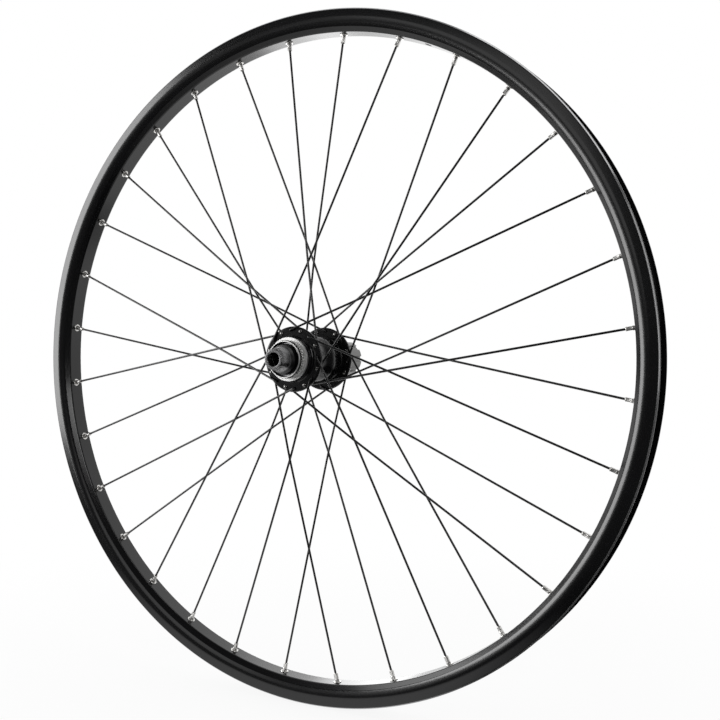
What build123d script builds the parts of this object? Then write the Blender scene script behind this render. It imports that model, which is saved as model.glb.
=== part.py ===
"""Rear bicycle wheel: a hooked double-wall rim, 32 spokes laced three-cross and a through-axle hub.

The wheel turns about Y, with the brake side towards -Y and the drive side towards +Y. The origin
is the wheel's centre, on the axis and in the rim's middle plane. Lengths are in millimetres, and
angles about the axis run from +X towards +Z, anticlockwise as seen from the brake side.
"""
import os
from math import cos, pi, radians, sin, sqrt

from build123d import *

# Rim
bead_seat_d = 622
hook_height = 6
hook_lip = 1.8
hook_undercut = 0.8
hook_bevel = 1.3
rim_width = 28
inner_width = 23
rim_depth = 19.7
side_band = 7
side_lean = 2.2
side_curve_steps = 2
corner_cut = 4
bed_wall = 1.6
well_wall = 1.2
side_wall = 1.4
shelf_width = 4.2
well_drop = 3.6
well_slope = 2.6
valve_hole_d = 6.5
access_hole_d = 8.6

# Spokes, nipples and eyelets
spoke_count = 32
crosses = 3
first_spoke_angle = 95
hole_stagger = 0.5
spoke_d = 2
spoke_head_d = 3.8
spoke_head_h = 1.1
spoke_elbow_cut = 1.2
crossing_gap = 0.1
nipple_d = 3.9
nipple_shown = 8.6
nipple_head_d = 6
nipple_head_h = 3
nipple_tilt_room = 0.5
thread_length = 9
thread_gap = 0.06
eyelet_d = 7
eyelet_lip = 0.7
eyelet_wall = 0.5
eyelet_gap = 0.3
small_round_sides = 6

# Hub shell, from each end of the axle inwards
hub_width = 135
brake_cap_shown = 17.5
drive_cap_shown = 5
flange_d = 59
spoke_circle_d = 52
flange_flat_d = 56.4
flange_t = 2.8
flange_edge_t = 1.6
disc_to_flange = 9.4
flange_to_mouth = 3
spoke_hole_gap = 0.25
flange_seat_gap = 0.1
barrel_d = 34
barrel_foot = 4
bearing_shoulder = 1.5
drum_d = 42
drum_l = 11.2
drum_to_flange = 6.2
drum_flare = 9
drum_neck_d = 39.4

# Splined disc mount on the brake side
spline_tip_d = 33.8
spline_depth = 0.8
spline_teeth = 40
spline_l = 6.4
spline_lip = 0.8
spline_lip_step = 0.5
recess_wall = 0.8
bearing_wall = 1.1
bearing_inset = 4
disc_seat_step = 2.7
disc_seat_t = 2.6
disc_collar_step = 0.9
disc_collar_t = 1

# Axle, end caps and bearings
axle_hole_d = 12.1
axle_d = 17
axle_shoulder_h = 1.5
axle_in_brake_cap = 13
axle_in_drive_cap = 4.5
cap_d = 18.4
cap_land = 2.5
cap_bevel = 0.6
cap_flare_steps = 3
cap_skirt_gap = 2.4
cap_skirt_l = 3
cap_skirt_t = 1.6
cap_boss_wall = 2
bore_chamfer = 0.5
hub_bearing_t = 7
driver_bearing_d = 26
driver_bearing_t = 5
seat_gap = 0.03
race_gap = 0.3
spacer_wall = 0.8

# Freewheel driver, ratchet and pawls
driver_d = 34
driver_l = 39.3
driver_collar_d = 36.6
driver_collar_t = 3
driver_neck_d = 29
driver_running_gap = 0.8
driver_bearing_inset = 1.5
driver_bore_gap = 0.5
driver_bearing_step = 1.5
driver_splines = 9
spline_groove_w = 4.6
spline_groove_depth = 1.4
nose_d = 26.4
ratchet_t = 9.6
ratchet_d = 34.8
ratchet_root_d = 30.8
ratchet_tip_d = 28.4
ratchet_teeth = 36
ratchet_inset = 3.8
ratchet_bearing_gap = 1
tooth_ramp_share = 0.82
pawl_tip_room = 0.7
pawl_count = 3
pawl_t = 7
pawl_side_gap = 0.3
pawl_pivot_x = 3.4
pawl_pivot_z = 11.2
pawl_pivot_d = 2.6
pawl_pivot_gap = 0.15
pawl_tip_x = -3.5
pawl_tip_z = 14.5
pawl_tip_t = 1.5
pawl_fold_room = 2.4
pawl_spring_t = 0.25
leaf_start_share = 0.3
leaf_end_share = 0.9
seal_t = 2.4
seal_gap = 0.4

# Radii and places that follow from the sizes above
rim_r = bead_seat_d / 2 + hook_height
bed_r = rim_r - rim_depth
well_r = bead_seat_d / 2 - well_drop
hub_hole_r = spoke_circle_d / 2
spoke_r = spoke_d / 2
axle_r = axle_d / 2
axle_end_y = hub_width / 2
spline_end_y = brake_cap_shown - axle_end_y
disc_seat_y = spline_end_y + spline_l
brake_flange_y = disc_seat_y + disc_to_flange
brake_bearing_y = spline_end_y + bearing_inset
brake_seat_end = brake_bearing_y + hub_bearing_t
driver_end_y = axle_end_y - drive_cap_shown
driver_start_y = driver_end_y - driver_l
shell_end_y = driver_start_y - driver_running_gap
drive_flange_y = shell_end_y - flange_to_mouth
ratchet_end_y = shell_end_y - ratchet_inset
ratchet_start_y = ratchet_end_y - ratchet_t
drive_bearing_y = ratchet_start_y - ratchet_bearing_gap - hub_bearing_t
drive_seat_end = drive_bearing_y + hub_bearing_t
inboard_bearing_y = driver_start_y + driver_collar_t + driver_bearing_inset
outboard_bearing_y = driver_end_y - driver_bearing_inset - driver_bearing_t
drive_cap_y = outboard_bearing_y + driver_bearing_t
spline_tip_r = spline_tip_d / 2
spline_root_r = spline_tip_r - spline_depth
recess_r = spline_root_r - recess_wall
hub_bearing_r = spline_root_r - bearing_wall
disc_seat_r = spline_tip_r + disc_seat_step
disc_collar_r = disc_seat_r + disc_collar_step

os.makedirs("parts", exist_ok=True)


def save(piece, node):
    """Label a finished piece and write it as one STEP file."""
    piece.label = node
    export_step(piece, f"parts/{node}.step")


def facing_brake(y, turn=0):
    """The plane across the axis at y, seen from the brake side: x is X, y is Z, turned about Y."""
    return Plane(origin=(0, y, 0), x_dir=polar(1, turn), z_dir=(0, -1, 0))


def polar(radius, angle, y=0):
    """The point at a radius and an angle about the axis, at y along it."""
    return Vector(radius * cos(radians(angle)), y, radius * sin(radians(angle)))


def turned(outline):
    """A ring turned about the axis from a closed outline of (radius, y) points."""
    with BuildPart() as ring:
        with BuildSketch(Plane.XY):
            with BuildLine():
                Polyline(*outline, close=True)
            make_face()
        revolve(axis=Axis.Y)
    return ring.part


def tube(inner_r, outer_r, y_start, y_end):
    """A plain turned tube between two radii."""
    return turned([(inner_r, y_start), (outer_r, y_start), (outer_r, y_end), (inner_r, y_end)])


def small_round(radius, length, start=0, around=False):
    """A small round that repeats many times, along +Z, with a few flats inside or around its circle."""
    with BuildPart() as peg:
        with BuildSketch(Plane.XY.offset(start)):
            RegularPolygon(radius, small_round_sides, major_radius=not around)
        extrude(amount=length)
    return peg.part


def small_hole(radius, length, start=0):
    """The cutter for a small round hole that repeats many times."""
    return small_round(radius, length, start, around=True)


# Lacing: spokes are numbered clockwise from the top as seen from the brake side
class Spoke:
    """The route of one spoke from its head in the flange to its nipple in the rim."""

    def __init__(self, index):
        self.node = f"spoke_{index + 1:02d}"
        self.angle = first_spoke_angle - index * 360 / spoke_count
        self.side = (-1, 1)[index % 2]
        self.elbow_out = index % 4 in (1, 2)
        lace_angle = crosses * 720 / spoke_count
        turn = lace_angle if self.elbow_out else -lace_angle
        flange_y = brake_flange_y if self.side < 0 else drive_flange_y
        nipple_y = self.side * hole_stagger
        self.nipple = polar(bed_r, self.angle, nipple_y)
        self.hole = polar(hub_hole_r, self.angle + turn, flange_y)

        # The last crossing lies on the line that halves the angle between two neighbours' rim holes
        half = radians(360 / spoke_count)
        hub_arm = hub_hole_r * sin(radians(lace_angle) - half)
        share = hub_arm / (hub_arm + bed_r * sin(half))
        crossing_y = flange_y + (nipple_y - flange_y) * share
        weave = self.side * (spoke_r + crossing_gap / 2)
        crossing_y += -weave if self.elbow_out else weave
        crossing = self.hole + (self.nipple - self.hole) * share
        self.crossing = Vector(crossing.X, crossing_y, crossing.Z)

        # An elbow on the outer face stands off far enough for the wire to clear the flange's edge
        along = Vector(self.nipple.X - self.hole.X, 0, self.nipple.Z - self.hole.Z)
        reach = along.length * share
        inward = -(self.hole.X * along.X + self.hole.Z * along.Z) / along.length
        fall = abs(flange_y) - abs(crossing_y)
        seat = flange_t / 2
        rise = seat + spoke_r + flange_seat_gap
        if self.elbow_out:
            for edge_r, half_t in ((flange_flat_d / 2, seat), (flange_d / 2, flange_edge_t / 2)):
                lean = (inward + sqrt(inward**2 + edge_r**2 - hub_hole_r**2)) / reach
                over_edge = half_t + spoke_r + flange_seat_gap
                rise = max(rise, (over_edge + fall * lean) / (1 - lean))
        outward = self.side if self.elbow_out else -self.side
        self.head = self.hole - Vector(0, outward * seat, 0)
        elbow = self.hole + Vector(0, outward * rise, 0)
        run = (self.crossing - elbow).normalized()
        self.elbow = [elbow - Vector(0, outward * spoke_elbow_cut, 0), elbow + run * spoke_elbow_cut]
        self.axis = (self.nipple - self.crossing).normalized()

    def bed_plane(self, radius):
        """The plane across the spoke's rim hole at a radius, facing outwards."""
        outward = polar(1, self.angle)
        return Plane(origin=self.nipple + outward * (radius - bed_r), x_dir=(0, 1, 0), z_dir=outward)

    def nipple_plane(self):
        """The plane across the nipple where it passes the spoke bed, facing outwards."""
        return Plane(origin=self.nipple, x_dir=(0, 1, 0), z_dir=self.axis)


spokes = [Spoke(index) for index in range(spoke_count)]
valve_angle = (spokes[2].angle + spokes[3].angle) / 2
eyelet_bore_r = nipple_d / 2 + eyelet_gap
sleeve_r = eyelet_bore_r + eyelet_wall

# Rim: hooked tyre channel over a hollow box
half_width = rim_width / 2
lip_y = inner_width / 2
band_r = rim_r - side_band
corner_y = half_width - side_lean
corner_r = bed_r + corner_cut
wall_y = lip_y + hook_undercut
shelf_y = wall_y - shelf_width
well_y = shelf_y - well_slope
curved_side = []
for step in range(side_curve_steps + 1):
    share = step / side_curve_steps
    curved_side.append((band_r + (corner_r - band_r) * share, half_width - side_lean * share**2))
outer_half = [
    (well_r, well_y),
    (bead_seat_d / 2, shelf_y),
    (bead_seat_d / 2, wall_y),
    (rim_r - hook_lip, lip_y),
    (rim_r, lip_y),
    (rim_r, half_width - hook_bevel),
    (rim_r - hook_bevel, half_width),
    *curved_side,
    (bed_r, corner_y - corner_cut),
]
chamber_half = [
    (well_r - well_wall, well_y - well_wall / 2),
    (bead_seat_d / 2 - well_wall, shelf_y),
    (band_r, half_width - side_wall),
    (corner_r + bed_wall / 2, corner_y - side_wall),
    (bed_r + bed_wall, corner_y - corner_cut - bed_wall / 4),
]


def both_sides(half):
    """A closed outline made of half a section and its mirror image in the rim's middle plane."""
    return half + [(r, -y) for r, y in reversed(half)]


bed_drill = small_hole(sleeve_r + seat_gap, 3 * bed_wall, start=-bed_wall)
access_drill = small_hole(access_hole_d / 2, 3 * well_wall, start=-2 * well_wall)
with BuildPart() as rim:
    with BuildSketch(Plane.XY):
        with BuildLine():
            Polyline(*both_sides(outer_half), close=True)
        make_face()
        with BuildLine():
            Polyline(*both_sides(chamber_half), close=True)
        make_face(mode=Mode.SUBTRACT)
    revolve(axis=Axis.Y)
    with Locations(*[spoke.bed_plane(bed_r) for spoke in spokes]):
        add(bed_drill, mode=Mode.SUBTRACT)
    with Locations(*[spoke.bed_plane(well_r) for spoke in spokes]):
        add(access_drill, mode=Mode.SUBTRACT)
    valve_way = polar(1, valve_angle)
    with BuildSketch(Plane(origin=valve_way * (bed_r - bed_wall), x_dir=(0, 1, 0), z_dir=valve_way)):
        Circle(valve_hole_d / 2)
    extrude(amount=rim_depth, mode=Mode.SUBTRACT)
save(rim.part, "rim")

# Eyelets: a lip under the spoke bed and a sleeve through its wall
with BuildPart() as eyelet:
    add(small_round(eyelet_d / 2, eyelet_lip, start=-eyelet_lip - seat_gap, around=True))
    add(small_round(sleeve_r, bed_wall + seat_gap, start=-seat_gap, around=True))
    add(small_hole(eyelet_bore_r, 4 * bed_wall, start=-2 * bed_wall), mode=Mode.SUBTRACT)
with BuildPart() as eyelets:
    with Locations(*[spoke.bed_plane(bed_r) for spoke in spokes]):
        add(eyelet.part)
save(eyelets.part, "rim_eyelets")

# Nipples: a head inside the rim, and a shank through the eyelet on to the spoke's thread
nipple_seat = bed_wall + nipple_tilt_room
with BuildPart() as nipple:
    add(small_round(nipple_d / 2, nipple_shown + nipple_seat, start=-nipple_shown))
    add(small_round(nipple_head_d / 2, nipple_head_h, start=nipple_seat))
    thread_hole = small_hole(spoke_r + thread_gap, thread_length + thread_gap, start=-nipple_shown)
    add(thread_hole, mode=Mode.SUBTRACT)
with BuildPart() as nipples:
    with Locations(*[spoke.nipple_plane() for spoke in spokes]):
        add(nipple.part)
save(nipples.part, "spoke_nipples")

# Spokes: a flat head, an elbow at the flange and two straight runs that meet at the last crossing
spoke_head = small_round(spoke_head_d / 2, spoke_head_h)
for spoke in spokes:
    end = spoke.nipple + spoke.axis * (thread_length - nipple_shown)
    with BuildPart() as wire:
        with BuildLine():
            Polyline(spoke.head, *spoke.elbow, spoke.crossing, end)
        with BuildSketch(Plane(origin=spoke.head, z_dir=spoke.elbow[0] - spoke.head)):
            RegularPolygon(spoke_r, small_round_sides)
        sweep(transition=Transition.RIGHT)
        with Locations(Plane(origin=spoke.head, z_dir=spoke.head - spoke.elbow[0])):
            add(spoke_head)
    save(wire.part, spoke.node)

# Hub shell: disc mount, two flanges, slim barrel and the drum that holds the ratchet
drum_end_y = drive_flange_y - drum_to_flange
drum_start_y = drum_end_y - drum_l
barrel_bore_r = hub_bearing_r - bearing_shoulder
bearing_seat_r = hub_bearing_r + seat_gap
ratchet_seat_r = ratchet_d / 2 + seat_gap


def flange_outline(y):
    """One flange's section from its brake-side face over its bevelled edge to its drive-side face."""
    return [
        (flange_flat_d / 2, y - flange_t / 2),
        (flange_d / 2, y - flange_edge_t / 2),
        (flange_d / 2, y + flange_edge_t / 2),
        (flange_flat_d / 2, y + flange_t / 2),
    ]


shell_outline = [
    (recess_r, spline_end_y - spline_lip),
    (spline_tip_r - spline_lip_step, spline_end_y - spline_lip),
    (spline_tip_r - spline_lip_step, spline_end_y),
    (spline_tip_r, spline_end_y),
    (spline_tip_r, disc_seat_y),
    (disc_seat_r, disc_seat_y),
    (disc_seat_r, disc_seat_y + disc_seat_t),
    (spline_tip_r, disc_seat_y + disc_seat_t),
    (spline_tip_r, brake_seat_end - disc_collar_t),
    (disc_collar_r, brake_seat_end),
    (disc_collar_r, brake_flange_y - flange_t / 2),
    *flange_outline(brake_flange_y),
    (barrel_d / 2 + barrel_foot, brake_flange_y + flange_t / 2),
    (barrel_d / 2, brake_flange_y + flange_t / 2 + barrel_foot),
    (barrel_d / 2, drum_start_y - drum_flare),
    (drum_d / 2, drum_start_y),
    (drum_d / 2, drum_end_y),
    (drum_neck_d / 2, drum_end_y),
    (drum_neck_d / 2, drive_flange_y - flange_t / 2),
    *flange_outline(drive_flange_y),
    (drum_neck_d / 2, drive_flange_y + flange_t / 2),
    (drum_neck_d / 2, shell_end_y),
    (ratchet_seat_r, shell_end_y),
    (ratchet_seat_r, ratchet_start_y),
    (bearing_seat_r, ratchet_start_y),
    (bearing_seat_r, drive_bearing_y),
    (barrel_bore_r, drive_bearing_y),
    (barrel_bore_r, brake_seat_end),
    (bearing_seat_r, brake_seat_end),
    (bearing_seat_r, brake_bearing_y),
    (recess_r, brake_bearing_y),
]

spoke_drill = small_hole(spoke_r + spoke_hole_gap, 2 * flange_t, start=-flange_t)
with BuildPart() as hub_shell:
    with BuildSketch(Plane.XY):
        with BuildLine():
            Polyline(*shell_outline, close=True)
        make_face()
    revolve(axis=Axis.Y)
    with Locations(*[Plane(origin=spoke.hole, z_dir=(0, 1, 0)) for spoke in spokes]):
        add(spoke_drill, mode=Mode.SUBTRACT)
    groove_w = pi * spline_tip_r / spline_teeth
    with BuildSketch(facing_brake(disc_seat_y)):
        with PolarLocations(spline_tip_r, spline_teeth):
            Rectangle(2 * spline_depth, groove_w)
    extrude(amount=spline_l, mode=Mode.SUBTRACT)
save(hub_shell.part, "hub_shell")


# Bearings: each race of a shielded bearing is a ring of its own, and the pair shares one gap
def bearing(node, y_start, outer_r, thickness):
    """The two races of one bearing that seats on the axle from y_start."""
    middle_r = (axle_r + outer_r) / 2
    y_end = y_start + thickness
    save(tube(axle_r + seat_gap, middle_r - race_gap / 2, y_start, y_end), f"{node}_inner_race")
    save(tube(middle_r + race_gap / 2, outer_r, y_start, y_end), f"{node}_outer_race")


bearing("brake_side_bearing", brake_bearing_y, hub_bearing_r, hub_bearing_t)
bearing("drive_side_bearing", drive_bearing_y, hub_bearing_r, hub_bearing_t)
bearing("driver_inboard_bearing", inboard_bearing_y, driver_bearing_d / 2, driver_bearing_t)
bearing("driver_outboard_bearing", outboard_bearing_y, driver_bearing_d / 2, driver_bearing_t)

# Axle: a tube with a shoulder between the two hub bearings
axle_hole_r = axle_hole_d / 2
axle_start_y = brake_bearing_y - axle_in_brake_cap
axle_stop_y = drive_cap_y + axle_in_drive_cap
axle_outline = [
    (axle_hole_r, axle_start_y),
    (axle_r, axle_start_y),
    (axle_r, brake_seat_end),
    (axle_r + axle_shoulder_h, brake_seat_end),
    (axle_r + axle_shoulder_h, drive_bearing_y),
    (axle_r, drive_bearing_y),
    (axle_r, axle_stop_y),
    (axle_hole_r, axle_stop_y),
]
save(turned(axle_outline), "axle")

# Spacers that keep the bearings apart on the axle
axle_seat_r = axle_r + seat_gap
spacer_r = axle_r + spacer_wall
driver_spacer_y = inboard_bearing_y + driver_bearing_t
save(tube(axle_seat_r, spacer_r, drive_seat_end, inboard_bearing_y), "axle_spacer")
save(tube(axle_seat_r, spacer_r, driver_spacer_y, outboard_bearing_y), "driver_spacer")

# End caps: the brake side's flares to a skirt over the bearing, the drive side's is a stepped ring
cap_r = cap_d / 2
cap_boss_r = axle_r + cap_boss_wall
cap_skirt_r = recess_r - cap_skirt_gap
flare_y = cap_land - axle_end_y
skirt_y = spline_end_y - cap_skirt_l
flare = []
for step in range(cap_flare_steps + 1):
    share = step / cap_flare_steps
    flare.append((cap_r + (cap_skirt_r - cap_r) * share**2, flare_y + (skirt_y - flare_y) * share))
brake_cap_outline = [
    (axle_hole_r + bore_chamfer, -axle_end_y),
    (cap_r - cap_bevel, -axle_end_y),
    (cap_r, cap_bevel - axle_end_y),
    *flare,
    (cap_skirt_r, spline_end_y + cap_skirt_t),
    (cap_boss_r, spline_end_y + cap_skirt_t),
    (cap_boss_r, brake_bearing_y),
    (axle_seat_r, brake_bearing_y),
    (axle_seat_r, axle_start_y - seat_gap),
    (axle_hole_r, axle_start_y - seat_gap),
    (axle_hole_r, bore_chamfer - axle_end_y),
]
save(turned(brake_cap_outline), "brake_side_end_cap")

drive_cap_outline = [
    (axle_seat_r, drive_cap_y),
    (cap_boss_r, drive_cap_y),
    (cap_boss_r, driver_end_y + driver_bore_gap),
    (cap_r, driver_end_y + driver_bore_gap),
    (cap_r, axle_end_y),
    (axle_hole_r + bore_chamfer, axle_end_y),
    (axle_hole_r, axle_end_y - bore_chamfer),
    (axle_hole_r, axle_stop_y + seat_gap),
    (axle_seat_r, axle_stop_y + seat_gap),
]
save(turned(drive_cap_outline), "drive_side_end_cap")

# Ratchet ring: saw teeth that the pawls push anticlockwise as seen from the brake side
tooth_angle = 360 / ratchet_teeth
pawl_tip_angle = Vector(1, 0, 0).get_angle(Vector(pawl_tip_x, 0, pawl_tip_z))
tooth_start = pawl_tip_angle + pawl_tip_room - tooth_ramp_share * tooth_angle
tooth_points = []
for tooth in range(ratchet_teeth):
    start = tooth_start + tooth * tooth_angle
    for radius, angle in (
        (ratchet_tip_d / 2, start),
        (ratchet_root_d / 2, start + tooth_ramp_share * tooth_angle),
    ):
        tooth_points.append((radius * cos(radians(angle)), radius * sin(radians(angle))))

with BuildPart() as ratchet_ring:
    with BuildSketch(facing_brake(ratchet_end_y)):
        Circle(ratchet_d / 2)
        with BuildLine():
            Polyline(*tooth_points, close=True)
        make_face(mode=Mode.SUBTRACT)
    extrude(amount=ratchet_t)
save(ratchet_ring.part, "ratchet_ring")

# Seal: a rubber ring in the shell's mouth that all but touches the driver's neck
seal_r = driver_neck_d / 2 + seal_gap
save(tube(seal_r, ratchet_d / 2, ratchet_end_y, ratchet_end_y + seal_t), "hub_seal")

# Freewheel driver: pawl nose, neck, collar and splined barrel, bored for its two bearings
driver_bore_r = spacer_r + driver_bore_gap
driver_seat_r = driver_bearing_d / 2 + seat_gap
driver_wall_r = driver_bearing_d / 2 - driver_bearing_step
nose_start_y = ratchet_start_y + driver_bore_gap
pocket_y = nose_start_y + pawl_side_gap * 2
driver_outline = [
    (driver_bore_r, nose_start_y),
    (nose_d / 2, nose_start_y),
    (nose_d / 2, ratchet_end_y + pawl_side_gap),
    (driver_neck_d / 2, ratchet_end_y + pawl_side_gap),
    (driver_neck_d / 2, driver_start_y),
    (driver_collar_d / 2, driver_start_y),
    (driver_collar_d / 2, driver_start_y + driver_collar_t),
    (driver_d / 2, driver_start_y + driver_collar_t),
    (driver_d / 2, driver_end_y),
    (driver_seat_r, driver_end_y),
    (driver_seat_r, outboard_bearing_y),
    (driver_wall_r, outboard_bearing_y),
    (driver_wall_r, driver_spacer_y),
    (driver_seat_r, driver_spacer_y),
    (driver_seat_r, inboard_bearing_y),
    (driver_bore_r, inboard_bearing_y),
]
pivot = (pawl_pivot_x, pawl_pivot_z)
pawl_pivot_r = pawl_pivot_d / 2
pocket_heel = Vector(pawl_pivot_x, pawl_pivot_z - pawl_pivot_r - pawl_pivot_gap)
pocket_toe = Vector(pawl_tip_x - pawl_tip_t, pawl_tip_z - pawl_tip_t - pawl_fold_room)
pawl_turns = [360 / pawl_count * pawl for pawl in range(pawl_count)]

with BuildPart() as driver:
    with BuildSketch(Plane.XY):
        with BuildLine():
            Polyline(*driver_outline, close=True)
        make_face()
    revolve(axis=Axis.Y)
    spline_start_y = driver_start_y + driver_collar_t
    with BuildSketch(facing_brake(spline_start_y)):
        with PolarLocations(driver_d / 2, driver_splines):
            Rectangle(2 * spline_groove_depth, spline_groove_w)
    extrude(amount=spline_start_y - driver_end_y, mode=Mode.SUBTRACT)
    for turn in pawl_turns:
        with BuildSketch(facing_brake(pocket_y, turn)):
            with Locations(pivot):
                Circle(pawl_pivot_r + pawl_pivot_gap)
            with BuildLine():
                Polyline(
                    pocket_heel,
                    pocket_toe,
                    (pocket_toe.X, pawl_tip_z),
                    (pawl_pivot_x, pawl_tip_z),
                    close=True,
                )
            make_face()
    extrude(amount=-(pawl_t + 2 * pawl_side_gap), mode=Mode.SUBTRACT)
save(driver.part, "freewheel_driver")

# Pawls: a round heel in its socket and a tip against the ratchet's steep face
for number, turn in enumerate(pawl_turns, start=1):
    with BuildPart() as pawl:
        with BuildSketch(facing_brake(pocket_y + pawl_side_gap, turn)):
            with Locations(pivot):
                Circle(pawl_pivot_r)
            with BuildLine():
                Polyline(
                    (pawl_pivot_x, pawl_pivot_z - pawl_pivot_r),
                    (pawl_tip_x, pawl_tip_z - pawl_tip_t),
                    (pawl_tip_x, pawl_tip_z),
                    (pawl_pivot_x, pawl_pivot_z + pawl_pivot_r),
                    close=True,
                )
            make_face()
        extrude(amount=-pawl_t)
    save(pawl.part, f"pawl_{number}")

# Pawl springs: one flat leaf on the floor of each pocket
with BuildPart() as pawl_springs:
    for turn in pawl_turns:
        with BuildSketch(facing_brake(pocket_y + pawl_side_gap, turn)):
            with BuildLine():
                leaf_heel = pocket_heel + (pocket_toe - pocket_heel) * leaf_start_share
                leaf_toe = pocket_heel + (pocket_toe - pocket_heel) * leaf_end_share
                lift = (pocket_toe - pocket_heel).rotate(Axis.Z, -90).normalized()
                Polyline(
                    leaf_heel + lift * seat_gap,
                    leaf_toe + lift * seat_gap,
                    leaf_toe + lift * pawl_spring_t,
                    leaf_heel + lift * pawl_spring_t,
                    close=True,
                )
            make_face()
    extrude(amount=-pawl_t)
save(pawl_springs.part, "pawl_springs")
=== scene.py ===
"""The looks of a rear bicycle wheel: rim, eyelets, nipples, spokes, hub and a plain white studio.

Every length is in metres, in the frame of the solid model: the wheel turns about Y, the brake side
is towards -Y, and angles about the axis run from +X towards +Z.
"""

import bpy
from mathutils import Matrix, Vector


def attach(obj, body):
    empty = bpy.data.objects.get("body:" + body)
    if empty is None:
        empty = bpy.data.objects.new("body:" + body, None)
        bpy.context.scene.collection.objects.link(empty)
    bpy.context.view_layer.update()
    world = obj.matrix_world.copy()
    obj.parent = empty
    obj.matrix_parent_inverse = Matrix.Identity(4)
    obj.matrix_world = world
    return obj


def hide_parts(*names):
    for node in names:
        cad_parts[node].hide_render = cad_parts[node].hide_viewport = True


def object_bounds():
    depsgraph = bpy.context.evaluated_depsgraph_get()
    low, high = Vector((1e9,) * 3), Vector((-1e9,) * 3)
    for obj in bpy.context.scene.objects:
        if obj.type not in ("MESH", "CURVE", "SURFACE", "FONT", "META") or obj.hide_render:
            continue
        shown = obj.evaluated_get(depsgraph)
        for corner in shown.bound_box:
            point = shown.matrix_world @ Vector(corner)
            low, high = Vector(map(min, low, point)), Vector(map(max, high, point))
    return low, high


bl_info = {
    "name": "Rear bicycle wheel",
    "version": (1, 0, 0),
    "blender": (4, 5, 0),
    "location": "View3D > Sidebar > Wheel",
    "description": "Builds the visible pieces and finishes of a spoked rear wheel",
    "category": "Add Mesh",
}

from math import cos, pi, radians, sin

import bmesh
import bpy
import numpy as np
from bpy.props import FloatProperty, FloatVectorProperty, IntProperty, PointerProperty
from mathutils import Vector

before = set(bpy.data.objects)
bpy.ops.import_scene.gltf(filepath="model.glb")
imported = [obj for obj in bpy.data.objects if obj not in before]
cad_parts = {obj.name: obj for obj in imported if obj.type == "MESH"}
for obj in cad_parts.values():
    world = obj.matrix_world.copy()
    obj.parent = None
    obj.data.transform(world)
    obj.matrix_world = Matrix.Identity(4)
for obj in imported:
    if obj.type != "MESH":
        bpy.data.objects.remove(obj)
solid_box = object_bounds()

MM = 0.001
MICRON = 0.000001
# Points closer than this are one point, and edges sharper than this stay sharp
WELD = 2e-7
SHARP = radians(38)
# Share of half a sector that sets how closely its columns gather round a hole
SECTOR_FAN = 0.45


def length(name, millimetres, description):
    """A length that a user may change, given in millimetres."""
    return FloatProperty(
        name=name, description=description, default=millimetres * MM, unit="LENGTH", precision=5
    )


def share(name, value, description):
    """A number between 0 and 1 that a user may change."""
    return FloatProperty(
        name=name, description=description, default=value, min=0, max=1, subtype="FACTOR"
    )


def colour(name, rgb, description):
    """A linear colour that a user may change."""
    return FloatVectorProperty(
        name=name, description=description, default=rgb, size=3, min=0, max=1, subtype="COLOR"
    )


def whole(name, value, description, least=1):
    """A whole number that a user may change."""
    return IntProperty(name=name, description=description, default=value, min=least)


def tilt(name, degrees, description):
    """An angle that a user may change, given in degrees."""
    return FloatProperty(
        name=name, description=description, default=radians(degrees), subtype="ANGLE"
    )


def power(name, watts, description):
    """A lamp's power that a user may change."""
    return FloatProperty(name=name, description=description, default=watts, unit="POWER")


class RimSizes(bpy.types.PropertyGroup):
    """Section of the rim, from its hooks down to the spoke bed."""

    outer_r: length("Outer radius", 317, "Radius of the hooks' top edge")
    bead_r: length("Bead seat radius", 311, "Radius of the shelf that a tyre's bead sits on")
    well_r: length("Well radius", 307.4, "Radius of the channel's floor")
    bed_r: length("Bed radius", 297.3, "Radius of the spoke bed")
    half_width: length("Half width", 14, "Half the width over the side walls")
    lip_y: length("Lip", 11.5, "Half the width between the hooks")
    wall_y: length("Undercut", 12.3, "Half the width under the hooks")
    hook_h: length("Hook", 1.8, "Height of the hook's lip")
    hook_bevel: length("Hook bevel", 1.3, "Bevel along the hook's outer edge")
    shelf_y: length("Shelf", 8.1, "Where the bead's shelf turns down into the well")
    well_y: length("Well", 5.5, "Half the width of the well's floor")
    band_r: length("Band radius", 310, "Radius where the flat side band ends")
    corner_r: length("Corner radius", 301.3, "Radius where the curved side ends")
    corner_y: length("Corner", 11.8, "Half the width where the curved side ends")
    bed_y: length("Bed", 7.8, "Half the width of the spoke bed")
    bed_wall: length("Bed wall", 1.6, "Thickness of the spoke bed")
    well_wall: length("Well wall", 1.2, "Thickness of the channel's floor")
    side_wall: length("Side wall", 1.4, "Thickness of the side walls")
    spoke_hole_r: length("Spoke hole radius", 2.78, "Radius of the holes in the spoke bed")
    access_r: length("Access hole radius", 4.3, "Radius of the holes over the nipples")
    valve_r: length("Valve hole radius", 3.25, "Radius of the valve's hole")
    valve_sector: whole("Valve sector", 5, "Half sector of the valve's hole, from the first spoke")


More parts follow.
